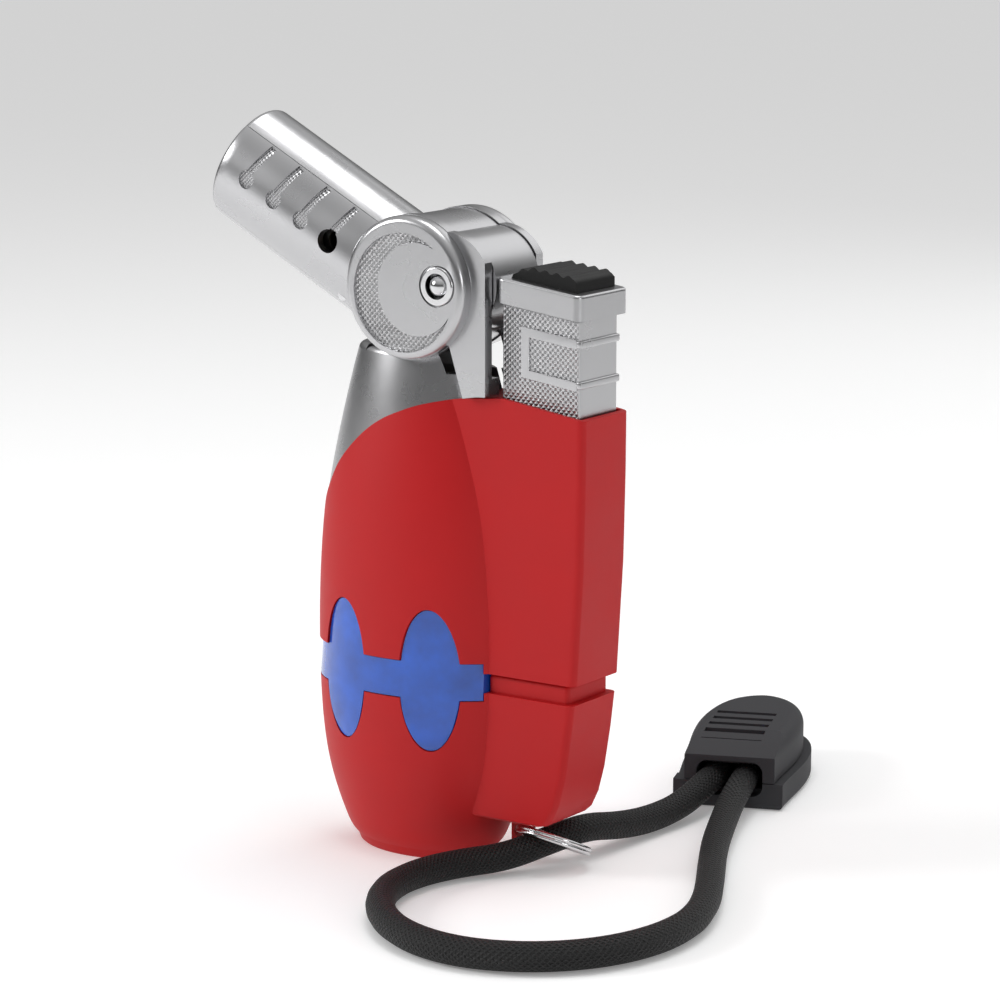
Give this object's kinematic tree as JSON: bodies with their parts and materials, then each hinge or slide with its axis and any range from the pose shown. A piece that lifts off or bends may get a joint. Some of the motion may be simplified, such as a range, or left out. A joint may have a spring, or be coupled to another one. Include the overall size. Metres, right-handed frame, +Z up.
{
  "type": "pocket butane torch",
  "caption": "Pocket butane torch with a folding burner arm on a round hinge, a sprung thumb trigger, a windowed fuel tank and a clipped cord lanyard.",
  "frame": {"origin": "middle of the flat foot that the torch stands on", "axes": "+Z up, -X towards the flame end of the open arm, +X towards the trigger, Y across the thickness"},
  "size_m": [0.0656, 0.0849, 0.075],
  "materials": {
    "red_shell": "satin",
    "blue_tank": "clear gloss",
    "clear_lid": "gloss",
    "cast_metal": "satin chrome",
    "steel": "brushed",
    "brass": "satin",
    "ceramic": "matte",
    "black_rubber": "matte",
    "soft_hose": "matte",
    "wick_fibre": "matte",
    "igniter_plastic": "matte",
    "trigger_metal": "satin chrome",
    "cord_fabric": "woven",
    "clip_plastic": "textured"
  },
  "bodies": {
    "torch_body": {"lower_shell": "red_shell", "upper_shell": "red_shell", "fuel_tank": "blue_tank", "tank_lid": "clear_lid", "tank_seal": "black_rubber", "gas_valve_body": "brass", "valve_spring": "steel", "lever_pin": "steel", "wick": "wick_fibre", "gas_hose": "soft_hose", "fill_valve_body": "brass", "fill_valve_spring": "steel", "fill_valve_seal": "black_rubber", "neck_frame": "cast_metal", "near_disc_cover": "cast_metal", "far_disc_cover": "cast_metal", "near_hinge_collar": "steel", "far_hinge_collar": "steel", "hinge_pin": "steel", "piezo_case": "igniter_plastic", "trigger_spring": "steel", "ignition_wire": "igniter_plastic", "shell_screws": "steel", "lanyard_cord": "cord_fabric", "clip_top": "clip_plastic", "clip_bottom": "clip_plastic"},
    "burner_arm": {"arm_frame": "cast_metal", "near_arm_cover": "cast_metal", "far_arm_cover": "cast_metal", "burner_tube": "steel", "flame_holder": "steel", "mixer_jet": "brass", "feed_tube": "brass", "electrode_insulator": "ceramic", "electrode_rod": "steel", "arm_rivet": "steel"},
    "trigger": {"trigger_body": "trigger_metal", "trigger_cap": "trigger_metal", "thumb_pad": "black_rubber", "piezo_plunger": "igniter_plastic"},
    "valve_lever": {"valve_lever": "steel"},
    "valve_stem": {"valve_stem": "brass"},
    "fill_valve_stem": {"fill_valve_stem": "brass"},
    "flame_adjuster": {"flame_adjuster": "brass"},
    "split_ring": {"split_ring": "steel"}
  },
  "joints": [
    {"name": "arm_fold", "type": "hinge", "parent": "torch_body", "child": "burner_arm", "pos_m": [0.00615, 0, 0.05935], "axis": [0, 1, 0], "range_deg": [0, 75]},
    {"name": "trigger_press", "type": "slide", "parent": "torch_body", "child": "trigger", "axis": [0, 0, -1], "range_m": [0, 0.0045], "stiffness_N_per_m": 1500, "springref_m": -0.002, "deforming": ["trigger_spring"]},
    {"name": "valve_lever_turn", "type": "hinge", "parent": "torch_body", "child": "valve_lever", "pos_m": [0.0006, 0, 0.0426], "axis": [0, 1, 0], "range_deg": [0, 25.5]},
    {"name": "valve_stem_lift", "type": "slide", "parent": "torch_body", "child": "valve_stem", "axis": [0, 0, 1], "range_m": [0, 0.0013], "deforming": ["valve_spring"]},
    {"name": "fill_valve_push", "type": "slide", "parent": "torch_body", "child": "fill_valve_stem", "axis": [0, 0, 1], "range_m": [0, 0.001], "stiffness_N_per_m": 500, "springref_m": -0.001, "deforming": ["fill_valve_spring"]},
    {"name": "flame_adjuster_turn", "type": "hinge", "parent": "torch_body", "child": "flame_adjuster", "pos_m": [-0.0037, 0, 0.002], "axis": [0, 0, 1], "range_deg": [-135, 135]},
    {"name": "split_ring_swing", "type": "hinge", "parent": "torch_body", "child": "split_ring", "pos_m": [0.012, 0, 0.00335], "axis": [0, 1, 0], "range_deg": [0, 8]}
  ],
  "couplings": [
    {"joint": "valve_lever_turn", "follows": "trigger_press", "rad_per_m": 98.9},
    {"joint": "valve_stem_lift", "follows": "trigger_press", "ratio": 0.2888}
  ]
}
